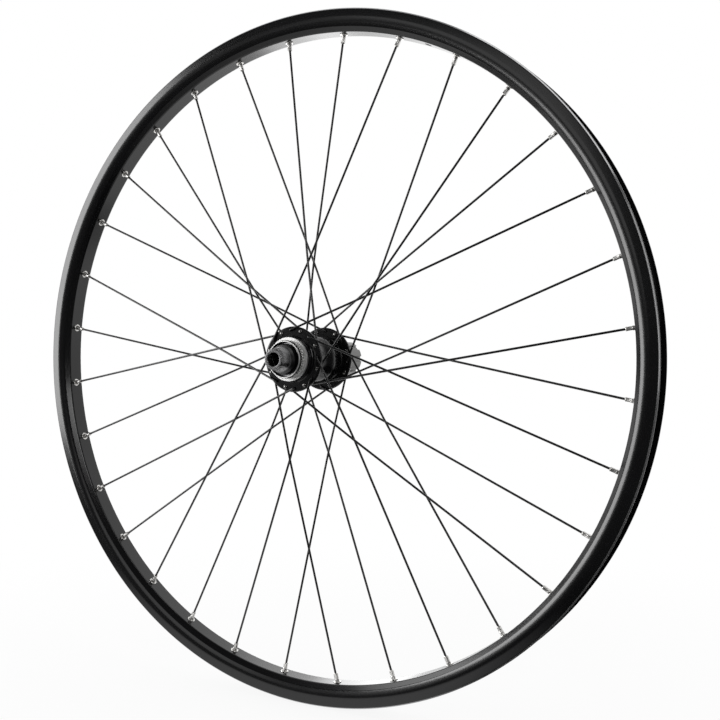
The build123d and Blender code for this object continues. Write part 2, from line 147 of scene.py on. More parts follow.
class LacingSizes(bpy.types.PropertyGroup):
    """Spokes, nipples and eyelets."""

    spokes: whole("Spokes", 32, "Number of spokes", least=12)
    crosses: whole("Crosses", 3, "How many spokes each one crosses")
    first: tilt("First spoke", 95, "Angle of the first spoke's rim hole")
    stagger: length("Stagger", 0.5, "How far the rim holes lie off the middle plane")
    wire_r: length("Wire radius", 1, "Radius of the spokes")
    crossing_gap: length("Crossing gap", 0.1, "Gap between two spokes where they cross")
    thread_end: length("Thread end", 0.4, "How far a spoke reaches past the spoke bed")
    head_r: length("Head radius", 1.9, "Radius of the spokes' heads")
    head_h: length("Head height", 1.1, "Height of the spokes' heads")
    nipple_r: length("Nipple radius", 1.95, "Radius of the nipples' shanks")
    nipple_flat: length("Nipple flats", 1.62, "Half the width over the nipples' flats")
    nipple_l: length("Nipple length", 8.6, "Length of nipple below the spoke bed")
    nipple_bevel: length("Nipple bevel", 0.7, "Length of the bevel on the nipples' ends")
    flat_start: length("Flats' start", 0.9, "Where the nipples' flats start, from their ends")
    flat_stop: length("Flats' stop", 5.3, "Where the nipples' flats stop, from their ends")
    nipple_seat: length("Nipple seat", 0.5, "Room between the nipples' heads and the bed")
    nipple_head: length("Nipple head", 3, "Radius and height of the nipples' heads")
    head_bevel: length("Head bevel", 0.6, "Bevel on the nipples' heads")
    eyelet_r: length("Eyelet radius", 3.7, "Radius of the eyelets' rolled lips")
    eyelet_bore: length("Eyelet bore", 2.25, "Radius of the eyelets' bores")
    eyelet_lip: length("Eyelet lip", 0.78, "Height of the eyelets' lips")


class HubSizes(bpy.types.PropertyGroup):
    """Hub shell and disc mount."""

    brake_y: length("Brake flange", -34.2, "Place of the brake-side flange along the axle")
    drive_y: length("Drive flange", 19.4, "Place of the drive-side flange along the axle")
    flange_r: length("Flange radius", 29.5, "Outer radius of the flanges")
    flat_r: length("Flange flat", 28.2, "Radius where the flanges' bevels start")
    flange_t: length("Flange thickness", 2.8, "Thickness of the flanges")
    edge_t: length("Flange edge", 1.6, "Thickness of the flanges at their edges")
    circle_r: length("Spoke circle", 26, "Radius of the circle of spoke holes")
    hole_r: length("Flange hole radius", 1.25, "Radius of the spoke holes")
    seat_gap: length("Seat gap", 0.1, "Gap between a spoke and the flange's face")
    barrel_r: length("Barrel radius", 17, "Radius of the slim barrel")
    drum_r: length("Drum radius", 21, "Radius of the drum over the ratchet")
    root_h: length("Flange root", 0.8, "Height of the brake flange's root over the drum")
    brake_slope: length("Brake slope", 4, "Length of the slope behind the brake flange")
    drum_slope: length("Drum slope", 9, "Length of the slope up to the drum")
    drum_l: length("Drum length", 11.2, "Length of the drum")
    drum_gap: length("Drum gap", 6.2, "From the drum's end to the drive flange")
    neck_drop: length("Neck drop", 1.3, "How far the neck lies under the drum")
    mouth_l: length("Mouth", 3, "How far the shell reaches past the drive flange")
    ratchet_r: length("Ratchet seat", 17.43, "Radius of the ratchet ring's seat")
    ratchet_l: length("Ratchet depth", 13.4, "Depth of the bore for ratchet and bearing")
    shell_bore: length("Shell bore", 13.5, "Radius of the bore through the barrel")
    bearing_r: length("Bearing seat", 15.4, "Radius of the brake-side bearing's seat")
    collar_l: length("Collar", 4.8, "How far the collar reaches outside the brake flange")
    collar_h: length("Collar height", 3.6, "Height of the collar over the disc spline")
    mount_gap: length("Mount gap", 2, "From the collar to the shell's end under the disc mount")
    spline_tip: length("Spline tips", 16.9, "Radius over the disc spline")
    spline_depth: length("Spline depth", 0.8, "Depth of the disc spline")
    spline_l: length("Spline length", 6.4, "Length of the disc spline")
    # The black band behind the lip is painted shade, where the spline lies in shadow
    spline_band: length("Spline band", 2.9, "Length of the black band behind the lip")
    spline_teeth: whole("Spline teeth", 40, "Teeth of the disc spline")
    disc_seat: length("Seat place", 9.4, "How far the disc's seat lies outside the brake flange")
    seat_r: length("Disc seat", 19.6, "Radius of the disc's seat")
    seat_t: length("Seat thickness", 2.6, "Thickness of the disc's seat")
    mount_bore: length("Mount bore", 15.3, "Radius of the bore in the disc mount")
    lip_l: length("Lip length", 0.8, "Length of the lip in front of the spline")
    lip_drop: length("Lip drop", 0.5, "How far the lip lies under the spline's tips")


class AxleSizes(bpy.types.PropertyGroup):
    """Axle tube and end caps."""

    bore_r: length("Axle bore", 6.05, "Radius of the bore for the through axle")
    mouth_bevel: length("Mouth bevel", 0.5, "Bevel where the bore comes out")
    tube_r: length("Tube radius", 8.5, "Radius of the axle tube")
    tube_start: length("Tube start", -59, "Where the tube starts along the axle")
    tube_end: length("Tube end", 65.5, "Where the tube ends along the axle")
    shoulder_r: length("Shoulder radius", 10, "Radius of the tube's shoulder")
    shoulder_start: length("Shoulder start", -39, "Where the shoulder starts along the axle")
    shoulder_end: length("Shoulder end", 1, "Where the shoulder ends along the axle")
    fit: length("Fit", 0.03, "Gap between the tube and the end caps")
    end_y: length("End", 67.5, "Half the width over the end caps")
    cap_r: length("Cap radius", 9.2, "Radius of the end caps")
    cap_bevel: length("Cap bevel", 0.6, "Bevel round the end caps' faces")
    stop_r: length("Stop radius", 10.5, "Radius of the caps where they meet the bearings")
    brake_stop: length("Brake stop", -46, "Where the brake-side cap meets its bearing")
    drive_stop: length("Drive stop", 61, "Where the drive-side cap meets its bearing")
    drive_step: length("Drive step", 63, "Where the drive-side cap steps to its full radius")
    land_l: length("Land", 2.5, "Length of the straight land behind the brake-side face")
    skirt_r: length("Skirt radius", 12.9, "Radius of the brake-side cap's skirt")
    skirt_l: length("Skirt length", 3, "How far the skirt reaches out of the disc mount")
    skirt_back: length("Skirt back", 1.6, "How far the skirt reaches into the disc mount")


class DriverSizes(bpy.types.PropertyGroup):
    """Freewheel driver."""

    outer_r: length("Driver radius", 17, "Radius over the driver's splines")
    end_y: length("Driver end", 62.5, "Where the driver ends along the axle")
    barrel_l: length("Barrel length", 39.3, "Length of the barrel with its collar")
    splines: whole("Driver splines", 9, "Grooves of the driver")
    groove_depth: length("Groove depth", 1.4, "Depth of the driver's grooves")
    groove_w: length("Groove width", 4.6, "Width of the driver's grooves")
    collar_r: length("Collar radius", 18.3, "Radius of the collar behind the sprockets")
    collar_l: length("Collar length", 3, "Length of the collar")
    neck_r: length("Neck radius", 14.5, "Radius of the neck under the seal")
    nose_r: length("Nose radius", 13.2, "Radius of the nose that holds the pawls")
    nose_start: length("Nose start", 9.5, "Where the nose starts along the axle")
    nose_end: length("Nose end", 18.9, "Where the nose ends along the axle")
    pawls: whole("Pawls", 3, "Number of pawl pockets")
    pocket_start: length("Pocket start", 10.1, "Where the pockets start along the axle")
    pocket_end: length("Pocket end", 17.7, "Where the pockets end along the axle")
    pocket_floor: length("Pocket floor", 10, "Distance of a pocket's floor from the axis")
    pocket_depth: length("Pocket depth", 3.2, "Largest depth of a pocket")
    pocket_way: tilt("Pocket way", 84.2, "Angle where a pocket's floor is nearest the axis")
    pocket_from: tilt("Pocket from", 64.9, "Angle where a pocket starts")
    pocket_to: tilt("Pocket to", 113.5, "Angle where a pocket stops")
    bearing_r: length("Bearing seat", 13.03, "Radius of the two bearings' seats")
    outboard_y: length("Outboard seat", 56, "Bottom of the outboard bearing's seat")
    inboard_end: length("Inboard end", 32.7, "Mouth of the inboard bearing's seat")
    inboard_y: length("Inboard seat", 27.7, "Bottom of the inboard bearing's seat")
    bore_r: length("Bore", 11.5, "Radius of the bore between the bearings")
    relief_r: length("Relief radius", 11.2, "Radius of the relief round the inner race")
    relief_l: length("Relief depth", 0.5, "Depth of the relief round the inner race")
    inner_r: length("Inner radius", 9.8, "Radius of the bore through the nose")


class Finishes(bpy.types.PropertyGroup):
    """Colours and gloss of the wheel's materials."""

    rim: colour("Rim", (0.003, 0.003, 0.0034), "Black anodised rim")
    worn: colour("Worn edges", (0.4, 0.4, 0.405), "Where the rim's black has worn thin")
    rim_rough: share("Rim roughness", 0.16, "How matt the rim is")
    shell: colour("Hub shell", (0.003, 0.003, 0.0033), "Gloss black hub shell")
    shell_rough: share("Shell roughness", 0.14, "How matt the hub shell is")
    wire: colour("Spokes", (0.003, 0.003, 0.0033), "Black steel wire")
    bright: colour("Bright aluminium", (0.86, 0.86, 0.85), "Bare turned aluminium")
    nickel: colour("Nickel", (0.72, 0.71, 0.69), "Plated nipples and eyelets")
    cap: colour("End caps", (0.2, 0.2, 0.203), "Grey anodised end caps")
    driver: colour("Driver", (0.18, 0.18, 0.178), "Bare machined driver")
    steel: colour("Steel", (0.45, 0.45, 0.46), "Hardened and ground steel")
    rubber: colour("Rubber", (0.02, 0.02, 0.02), "Seals")


class StageSettings(bpy.types.PropertyGroup):
    """Camera, lamps and floor."""

    distance: length("Distance", 916.83, "From the wheel's centre to the camera")
    azimuth: tilt("Azimuth", 31.171, "Camera's place round the wheel")
    elevation: tilt("Elevation", 0.403, "Camera's height as an angle")
    yaw: tilt("Yaw", 28.47, "Where the camera looks, round Z")
    pitch: tilt("Pitch", 0.461, "How far the camera looks down")
    lens: FloatProperty(name="Lens", description="Focal length in millimetres", default=49.36)
    key: power("Key lamp", 19.5, "Power of the left lamp")
    top: power("Top lamp", 7, "Power of the lamp overhead")
    fill: power("Fill lamp", 6.5, "Power of the right lamp")
    back: power("Back lamp", 4, "Power of the lamp behind")
    low: power("Low lamp", 2.1, "Power of the low lamp behind")
    side: power("Side lamp", 2, "Power of the lamp at the side")
    edge: power("Edge lamp", 0.4, "Power of the lamp beside the key")
    upper: power("Upper lamp", 7.5, "Power of the upper left lamp")
    front: power("Front lamp", 1.4, "Power of the lamp in front")


def disc_places(hub):
    """Where the disc's seat lies along the axle, and where its spline ends."""
    seat_y = hub.brake_y - hub.disc_seat
    return seat_y, seat_y - hub.spline_l


# Surfaces: every piece is one or more grids of points, joined into one closed mesh


def unit(vectors):
    """Vectors divided by their lengths."""
    return vectors / np.linalg.norm(vectors, axis=-1, keepdims=True)


def polar(radius, angle, y):
    """Points (radius cos angle, y, radius sin angle), for arrays that fit together."""
    radius, angle, y = np.broadcast_arrays(radius, angle, y)
    return np.stack([radius * np.cos(angle), y, radius * np.sin(angle)], axis=-1)


def eased(corners, reach, closed=True, steps=6):
    """Corners of one or more paths, rounded.

    Each corner p gives way to the curve (1 - s)² a + 2 s (1 - s) p + s² b, where a and b lie up
    to reach before and after p. One more point on each side keeps the straight runs straight.
    """
    p = np.asarray(corners, float)
    if closed:
        p = np.concatenate([p[..., -1:, :], p, p[..., :1, :]], axis=-2)
    mid = p[..., 1:-1, :]
    back, on = p[..., :-2, :] - mid, p[..., 2:, :] - mid
    room = 0.4 * np.minimum(np.linalg.norm(back, axis=-1), np.linalg.norm(on, axis=-1))
    cut = np.minimum(np.broadcast_to(reach, room.shape), room)[..., None]
    a, b = mid + unit(back) * cut, mid + unit(on) * cut
    s = np.linspace(0, 1, steps)[:, None]
    a, b, mid = a[..., None, :], b[..., None, :], mid[..., None, :]
    curve = (1 - s) ** 2 * a + 2 * s * (1 - s) * mid + s**2 * b
    before, after = a + (a - mid) * 0.2, b + (b - mid) * 0.2
    curve = np.concatenate([before, curve, after], axis=-2)
    curve = curve.reshape(*curve.shape[:-3], -1, curve.shape[-1])
    if closed:
        return curve
    return np.concatenate([p[..., :1, :], curve, p[..., -1:, :]], axis=-2)


def turned(outline, angles):
    """An (r, y) outline carried round the axis: (r cos a, y, r sin a) on a grid of a and s."""
    outline = np.asarray(outline, float)
    return polar(outline[None, :, 0], np.asarray(angles)[:, None], outline[None, :, 1])


def around(columns):
    """Evenly spaced angles of a full turn."""
    return np.arange(columns) * 2 * pi / columns


def sheet(points, wrap_u=False, wrap_v=False):
    """Points of one or more grids, with four-cornered faces between neighbours in u and v."""
    points = np.asarray(points, float)
    points = points.reshape(-1, *points.shape[-3:])
    count, rows, columns = points.shape[:3]
    index = np.arange(count * rows * columns).reshape(count, rows, columns)
    if wrap_u:
        index = np.concatenate([index, index[:, :1]], axis=1)
    if wrap_v:
        index = np.concatenate([index, index[:, :, :1]], axis=2)
    corners = [index[:, :-1, :-1], index[:, 1:, :-1], index[:, 1:, 1:], index[:, :-1, 1:]]
    return points.reshape(-1, 3), np.stack(corners, axis=-1).reshape(-1, 4)


def ring(outline, angles):
    """A closed outline carried all the way round the axis."""
    return sheet(turned(outline, angles), wrap_u=True, wrap_v=True)


def pierced(centres, swings, across, hole_r, hole_at, arc_r, place):
    """Sectors of a surface, each with a round hole, as lines from the hole's edge to the border.

    A point is (1 - t) h + t b. The border point b runs round the rectangle of the angles in swings
    and the places in across, and h is the point of the hole's circle in the same direction.
    """
    low, high = across[0], across[-1]
    border_a = np.concatenate([swings[:-1], np.full(len(across) - 1, swings[-1]),
                               swings[:0:-1], np.full(len(across) - 1, swings[0])])
    border_w = np.concatenate([np.full(len(swings) - 1, low), across[:-1],
                               np.full(len(swings) - 1, high), across[:0:-1]])
    hole_at = np.broadcast_to(hole_at, np.shape(centres))[:, None]
    way = np.arctan2(border_w - hole_at, border_a * arc_r + 0 * hole_at)
    hole_a, hole_w = hole_r * np.cos(way) / arc_r, hole_at + hole_r * np.sin(way)
    t = np.array([0, 0.06, 0.25, 1])
    angle = (1 - t) * hole_a[..., None] + t * border_a[:, None]
    width = (1 - t) * hole_w[..., None] + t * border_w[:, None]
    return place(angle + np.asarray(centres)[:, None, None], width)


def plain(centres, swings, across, place):
    """Sectors of a surface with no hole: a grid of angles in swings and places in across."""
    angle = np.asarray(centres)[:, None, None] + swings[:, None]
    return place(angle, np.broadcast_to(across, angle.shape[:2] + across.shape))


def bored(outer, inner):
    """Walls of the holes between two pierced sheets: from one hole's edge to the other's."""
    return sheet(np.stack([outer[:, :, 0], inner[:, :, 0]], axis=2), wrap_u=True)


def spun(outline, centres, axes, columns=32):
    """An (r, h) outline turned about an axis at each centre: c + r (cos f u + sin f v) + h w."""
    outline = np.asarray(outline, float)
    w = unit(axes)[:, None, None, :]
    u = unit(np.cross(axes, [0.31, 0.83, 0.46]))[:, None, None, :]
    v = np.cross(w, u)
    f = around(columns)[:, None, None]
    r, h = outline[:, 0, None], outline[:, 1, None]
    return np.asarray(centres)[:, None, None, :] + r * (np.cos(f) * u + np.sin(f) * v) + h * w


def carved(points, depth, radius):
    """Points moved towards the axis by a depth: x and z times 1 - depth / radius."""
    cut = 1 - depth / radius
    return points * np.stack([cut, np.ones_like(cut), cut], axis=-1)


def piece(name, sheets, body, material, nodes=()):
    """One closed mesh from its sheets: welded, facing outwards, riding on a body of the wheel."""
    points = np.concatenate([p for p, _ in sheets])
    starts = np.cumsum([0] + [len(p) for p, _ in sheets[:-1]])
    faces = np.concatenate([f + s for (_, f), s in zip(sheets, starts)])
    mesh = bpy.data.meshes.new(name)
    mesh.vertices.add(len(points))
    mesh.vertices.foreach_set("co", points.ravel())
    mesh.loops.add(faces.size)
    mesh.loops.foreach_set("vertex_index", faces.ravel())
    mesh.polygons.add(len(faces))
    mesh.polygons.foreach_set("loop_start", np.arange(0, faces.size, 4))
    mesh.update(calc_edges=True)
    shape = bmesh.new()
    shape.from_mesh(mesh)
    bmesh.ops.remove_doubles(shape, verts=shape.verts, dist=WELD)
    bmesh.ops.recalc_face_normals(shape, faces=shape.faces)
    shape.to_mesh(mesh)
    shape.free()
    mesh.shade_smooth()
    mesh.set_sharp_from_angle(angle=SHARP)
    mesh.materials.append(material)
    made = bpy.data.objects.new(name, mesh)
    bpy.context.scene.collection.objects.link(made)
    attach(made, body)
    if nodes:
        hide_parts(*nodes)
    return made


# Materials: sums and products of sockets are written as sums and products


class Wire:
    """A value in a node tree, whose arithmetic adds Math nodes."""

    def __init__(self, nodes, socket):
        self.nodes = nodes
        self.socket = socket

    def math(self, operation, *values):
        """The result of one Math node."""
        inputs = dict(enumerate(values))
        return self.nodes.node("ShaderNodeMath", {"operation": operation}, inputs)["Value"]

    def __add__(self, other):
        return self.math("ADD", self, other)

    def __sub__(self, other):
        return self.math("SUBTRACT", self, other)

    def __rsub__(self, other):
        return self.math("SUBTRACT", other, self)

    def __mul__(self, other):
        return self.math("MULTIPLY", self, other)

    def __pow__(self, other):
        return self.math("POWER", self, other)

    __radd__ = __add__
    __rmul__ = __mul__


class Nodes:
    """The nodes of a material or of the surroundings."""

    def __init__(self, tree):
        self.tree = tree

    def node(self, kind, settings=None, inputs=None):
        """Add a node, set it up, then set or link its inputs, and return its outputs by name."""
        made = self.tree.nodes.new(kind)
        for name, value in (settings or {}).items():
            setattr(made, name, value)
        for name, value in (inputs or {}).items():
            self.feed(made.inputs[name], value)
        return {out.name: Wire(self, out) for out in made.outputs if out.enabled}

    def feed(self, socket, value):
        """Link a value to a socket, or set the socket to it."""
        if isinstance(value, Wire):
            self.tree.links.new(value.socket, socket)
        else:
            socket.default_value = value

    def ramp(self, value, start, end, low=0.0, high=1.0):
        """A smooth step from low to high as a value goes from start to end."""
        inputs = {"Value": value, "From Min": start, "From Max": end, "To Min": low, "To Max": high}
        smooth = {"interpolation_type": "SMOOTHSTEP"}
        return self.node("ShaderNodeMapRange", smooth, inputs)["Result"]

    def behind(self, way):
        """Light from a direction: white behind the wheel and left of it, dim in front and right."""
        axes = self.node("ShaderNodeSeparateXYZ", inputs={"Vector": way})
        depth = axes["Y"] * 0.9 - axes["X"] * 0.43
        return self.ramp(depth, -0.2, 0.5, low=0.07)


class Finish(Nodes):
    """A material's nodes, starting from the place of a point on the wheel."""

    def __init__(self, name):
        self.material = bpy.data.materials.new(name)
        self.material.use_nodes = True
        super().__init__(self.material.node_tree)
        self.shader = self.tree.nodes["Principled BSDF"]
        self.place = self.node("ShaderNodeTexCoord")["Object"]
        axes = self.node("ShaderNodeSeparateXYZ", inputs={"Vector": self.place})
        self.x, self.y = axes["X"], axes["Y"]
        self.radius = (axes["X"] * axes["X"] + axes["Z"] * axes["Z"]) ** 0.5

    def cloud(self, scale, detail=3):
        """Soft noise from 0 to 1 with about scale blotches to the metre."""
        inputs = {"Vector": self.place, "Scale": scale, "Detail": detail}
        return self.node("ShaderNodeTexNoise", inputs=inputs)["Fac"]

    def rings(self, scale, detail=2):
        """Noise that depends on radius and y alone, as turning and extrusion leave it."""
        section = {"X": self.radius, "Y": self.y}
        place = self.node("ShaderNodeCombineXYZ", inputs=section)["Vector"]
        inputs = {"Vector": place, "Scale": scale, "Detail": detail}
        return self.node("ShaderNodeTexNoise", {"noise_dimensions": "2D"}, inputs)["Fac"]

    def blend(self, mask, first, second):
        """The first colour where a mask is 0 and the second where it is 1."""
        inputs = {0: mask, 6: first, 7: second}
        return self.node("ShaderNodeMix", {"data_type": "RGBA"}, inputs)["Result"]

    def tint(self, rgb, mask, low=0.75, high=1.25):
        """A colour that goes from low times to high times itself as a mask goes from 0 to 1."""
        return self.blend(mask, [*(low * c for c in rgb), 1], [*(high * c for c in rgb), 1])

    def bump(self, height, depth):
        """A normal tilted by a height from 0 to 1 that stands for a depth in metres."""
        return self.node("ShaderNodeBump", inputs={"Height": height, "Distance": depth})["Normal"]

    def set(self, **sockets):
        """Set or link the shader's inputs: names with _ for the spaces."""
        for name, value in sockets.items():
            self.feed(self.shader.inputs[name.replace("_", " ")], value)
        return self.material


def black_anodised(rgb, rough, worn, rim):
    """Satin black aluminium: extrusion lines, an uneven etched gloss and worn hook edges.

    The wear is a product of two steps, one up the radius and one out from the middle plane.
    """
    f = Finish("black_anodised")
    lines, grain, soft = f.rings(900), f.cloud(900), f.cloud(26)
    out = f.y.math("ABSOLUTE", f.y)
    top, side = rim.outer_r, rim.half_width
    up = f.ramp(f.radius, top - 1.4 * MM, top - 0.9 * MM)
    wear = up * f.ramp(out, side - 1.5 * MM, side - 1 * MM) * (0.6 + grain * 0.4)
    return f.set(
        Base_Color=f.blend(wear, f.tint(rgb, soft, 0.8, 1.2), [*worn, 1]),
        Metallic=wear,
        Roughness=rough - 0.05 + lines * 0.03 + soft * 0.03 + grain * 0.04,
        Specular_IOR_Level=0.5,
        Normal=f.bump(lines, 1 * MICRON),
    )


def gloss_black(rgb, rough):
    """Gloss black aluminium with faint turning marks."""
    f = Finish("gloss_black")
    lines, soft = f.rings(3800), f.cloud(90)
    return f.set(
        Base_Color=f.tint(rgb, soft, 0.8, 1.3),
        Roughness=rough - 0.05 + lines * 0.08 + soft * 0.04,
        Specular_IOR_Level=0.5,
        Normal=f.bump(lines, 2 * MICRON),
    )


def black_wire(rgb):
    """Drawn steel wire with a thin black coat."""
    f = Finish("black_wire")
    soft, grain = f.cloud(140), f.cloud(3000)
    return f.set(
        Base_Color=f.tint(rgb, soft, 0.7, 1.4),
        Roughness=0.22 + soft * 0.08 + grain * 0.02,
        Specular_IOR_Level=0.6,
    )


def turned_metal(name, rgb, rough):
    """Bare metal with turning marks round the axle and a little uneven gloss."""
    f = Finish(name)
    lines, soft = f.rings(4200, 3), f.cloud(160)
    return f.set(
        Base_Color=f.tint(rgb, lines * 0.6 + soft * 0.4, 0.82, 1.12),
        Metallic=1.0,
        Roughness=rough - 0.04 + lines * 0.04 + soft * 0.04,
        Normal=f.bump(lines, 0.3 * MICRON),
    )


def cap_metal(rgb, black, skirt_r):
    """Satin grey aluminium, going over to a black dust skirt near the largest radius."""
    f = Finish("grey_anodised")
    lines, soft = f.rings(4200, 3), f.cloud(160)
    skirt = f.ramp(f.radius, skirt_r - 2.2 * MM, skirt_r - 1.4 * MM)
    return f.set(
        Base_Color=f.blend(skirt, f.tint(rgb, lines * 0.5 + soft * 0.5, 0.9, 1.1), [*black, 1]),
        Metallic=0.95 - skirt * 0.95,
        Roughness=0.2 + lines * 0.04 + soft * 0.04 + skirt * 0.1,
    )


def spline_metal(rgb, black, hub):
    """Bare turned aluminium with painted shade: black in a band behind the lip where the spline
    lies in shadow, black in the bore, and darker in the grooves between the teeth.

    The band is a product of two steps along y, and the grooves are found by their smaller radius.
    """
    f = Finish("turned_aluminium")
    seat_y, start = disc_places(hub)
    tip, band_end, soften = hub.spline_tip, start + hub.spline_band, 0.1 * MM
    lines, soft = f.rings(4200, 3), f.cloud(160)
    behind_lip = f.ramp(f.y, start, start + soften)
    # Painted shade: a black band where the spline behind the lip lies in shadow
    band = behind_lip * f.ramp(f.y, band_end + 2 * soften, band_end)
    # Painted shade: the grooves between the teeth darkened, as if shadowed
    groove = behind_lip * f.ramp(f.radius, tip - soften, tip - 0.6 * MM)
    groove = groove * f.ramp(f.y, seat_y, seat_y - soften)
    # Painted shade: the bore inside the mount painted black
    bore = f.ramp(f.radius, tip - 1.1 * MM, tip - 1.3 * MM)
    # The three painted shades together: black where this mask is 1, bare metal where it is 0
    painted_shade = band.math("MAXIMUM", band.math("MAXIMUM", band, groove * 0.6), bore)
    return f.set(
        Base_Color=f.blend(painted_shade, f.tint(rgb, lines * 0.6 + soft * 0.4, 0.85, 1.1), [*black, 1]),
        Metallic=1 - painted_shade,
        Roughness=0.48 + lines * 0.04 + soft * 0.04,
    )


def plated(name, rgb, rough):
    """Bright plating over small pressed pieces, with tiny dents and handling marks."""
    f = Finish(name)
    marks, soft = f.cloud(900, 4), f.cloud(300)
    return f.set(
        Base_Color=f.tint(rgb, soft, 0.8, 1.1),
        Metallic=1.0,
        Roughness=rough - 0.05 + marks * 0.14,
        Normal=f.bump(marks, 12 * MICRON),
    )


def soft_rubber(rgb):
    """Matt moulded rubber."""
    f = Finish("soft_rubber")
    grain = f.cloud(1800)
    return f.set(Base_Color=f.tint(rgb, grain, 0.8, 1.2), Roughness=0.6 + grain * 0.15,
                 Normal=f.bump(grain, 10 * MICRON))


# Lacing


class Lacing:
    """Where every spoke runs, as arrays with one row to a spoke."""

    def __init__(self, scene):
        rim, lace, hub = scene.wheel_rim, scene.wheel_lacing, scene.wheel_hub
        index = np.arange(lace.spokes)
        pitch = 2 * pi / lace.spokes
        self.angle = lace.first - index * pitch
        self.side = np.where(index % 2, 1, -1)
        self.out = np.isin(index % 4, (1, 2))
        self.turn = np.where(self.out, 1, -1) * lace.crosses * 2 * pitch
        flange_y = np.where(self.side < 0, hub.brake_y, hub.drive_y)
        nipple_y = self.side * lace.stagger
        self.nipple = polar(rim.bed_r, self.angle, nipple_y)
        self.hole = polar(hub.circle_r, self.angle + self.turn, flange_y)

        # The last crossing, with one spoke of each pair woven over the other
        hub_arm = hub.circle_r * sin(lace.crosses * 2 * pitch - pitch)
        part = hub_arm / (hub_arm + rim.bed_r * sin(pitch))
        crossing = self.hole + (self.nipple - self.hole) * part
        weave = self.side * (lace.wire_r + lace.crossing_gap / 2)
        crossing[:, 1] += np.where(self.out, -weave, weave)
        self.crossing = crossing

        # Elbows stand off the flange's face, far enough to clear its edge
        along = (self.nipple - self.hole) * [1, 0, 1]
        run = np.linalg.norm(along, axis=1)
        inward = -np.sum(self.hole * along, axis=1) / run
        fall = np.abs(flange_y) - np.abs(crossing[:, 1])
        seat = hub.flange_t / 2
        clear = lace.wire_r + hub.seat_gap
        edges = np.array([[hub.flat_r, seat], [hub.flange_r, hub.edge_t / 2]])[:, :, None]
        lean = (inward + np.sqrt(inward**2 + edges[:, 0] ** 2 - hub.circle_r**2)) / (run * part)
        over = np.max((edges[:, 1] + clear + fall * lean) / (1 - lean), axis=0)
        rise = np.where(self.out, np.maximum(seat + clear, over), seat + clear)
        axle_way = np.array([0.0, 1.0, 0.0])
        self.outward = np.where(self.out, self.side, -self.side)[:, None] * axle_way
        self.head = self.hole - self.outward * seat
        self.elbow = self.hole + self.outward * rise[:, None]
        self.axis = unit(self.nipple - crossing)
        self.across = unit(np.cross(axle_way, along))


def sectors(centres, steps):
    """Angles across equal sectors of a circle, closer together near the middle of each.

    The angles are w tan(p) with p in equal steps and w a share of half a sector, so that lines to
    the edge of a hole in the middle fan evenly.
    """
    half = pi / len(centres)
    width = SECTOR_FAN * half
    limit = np.arctan(half / width)
    swings = width * np.tan(np.linspace(-limit, limit, steps + 1))
    swings *= half / swings[-1]
    columns = (np.asarray(centres)[:, None] + swings[None, :-1]).ravel()
    return swings, columns


class WHEEL_OT_rim(bpy.types.Operator):
    """Build the rim: hooked channel, hollow box, spoke holes, access holes and valve hole"""

    bl_idname = "wheel.rim"
    bl_label = "Rim"

    def execute(self, context):
        scene = context.scene
        rim, lace, finish = scene.wheel_rim, scene.wheel_lacing, scene.wheel_finish
        count = 2 * lace.spokes
        number = np.arange(count)[::-1]
        centres = lace.first - number * 2 * pi / count
        swings, columns = sectors(centres, 8)
        spoke, valve = number % 2 == 0, number == rim.valve_sector
        bare = ~spoke & ~valve
        stagger = np.where(number // 2 % 2, 1, -1) * lace.stagger

        bed_edge = rim.bed_y - 2.4 * MM
        well_edge = rim.well_y - 0.25 * MM
        channel = [
            (rim.well_r, well_edge),
            (rim.well_r, rim.well_y),
            (rim.bead_r, rim.shelf_y),
            (rim.bead_r, rim.wall_y),
            (rim.outer_r - rim.hook_h, rim.lip_y),
            (rim.outer_r, rim.lip_y),
            (rim.outer_r, rim.half_width - rim.hook_bevel),
            (rim.outer_r - rim.hook_bevel, rim.half_width),
            (rim.band_r, rim.half_width),
        ]
        rounds = np.array([0.2, 0.5, 0.6, 0.7, 0.4, 0.4, 0.4]) * MM
        channel = eased(channel, rounds, closed=False, steps=4)
        # The side curves in below its flat band: y falls by the square of the way to the corner
        s = np.linspace(0, 0.9, 12)
        curve_r = rim.band_r + (rim.corner_r - rim.band_r) * s
        curve_y = rim.half_width + (rim.corner_y - rim.half_width) * s**2
        curve = np.stack([curve_r, curve_y], axis=1)
        corner = [
            curve[-1], (rim.corner_r, rim.corner_y), (rim.bed_r, rim.bed_y), (rim.bed_r, bed_edge)
        ]
        corner = eased(corner, np.array([1.2, 1.0]) * MM, closed=False, steps=6)
        outer = np.concatenate([channel[:-1], curve, corner[1:]])
        floor_r, roof_r = rim.bed_r + rim.bed_wall, rim.well_r - rim.well_wall
        chamber = np.array([
            (roof_r, rim.well_y - rim.well_wall / 2),
            (rim.bead_r - rim.well_wall, rim.shelf_y),
            (rim.band_r, rim.half_width - rim.side_wall),
            (rim.corner_r + rim.bed_wall / 2, rim.corner_y - rim.side_wall),
            (floor_r, rim.bed_y - rim.bed_wall / 4),
        ])
        mirror = np.array([1, -1])
        sheets = [sheet(turned(o, columns), wrap_u=True)
                  for o in (outer, outer * mirror, chamber, chamber * mirror)]

        # Four holed strips: spoke bed and chamber floor, channel floor and chamber roof
        for radii, half, hole_r in (
            ((rim.bed_r, floor_r), (bed_edge, chamber[-1, 1]), rim.spoke_hole_r),
            ((rim.well_r, roof_r), (well_edge, chamber[0, 1]), rim.access_r),
        ):
            pairs = []
            for r, h in zip(radii, half):
                across = np.linspace(-h, h, 7)

                def place(angle, width, r=r):
                    return polar(r, angle, width)

                holed = pierced(centres[spoke], swings, across, hole_r, stagger[spoke], r, place)
                stem = pierced(centres[valve], swings, across, rim.valve_r, 0.0, r, place)
                sheets += [sheet(holed, wrap_u=True), sheet(stem, wrap_u=True)]
                sheets.append(sheet(plain(centres[bare], swings, across, place)))
                pairs.append((holed, stem))
            sheets += [bored(*walls) for walls in zip(*pairs)]
        black = black_anodised(finish.rim, finish.rim_rough, finish.worn, rim)
        piece("rim_shell", sheets, "wheel", black, ("rim",))
        return {"FINISHED"}


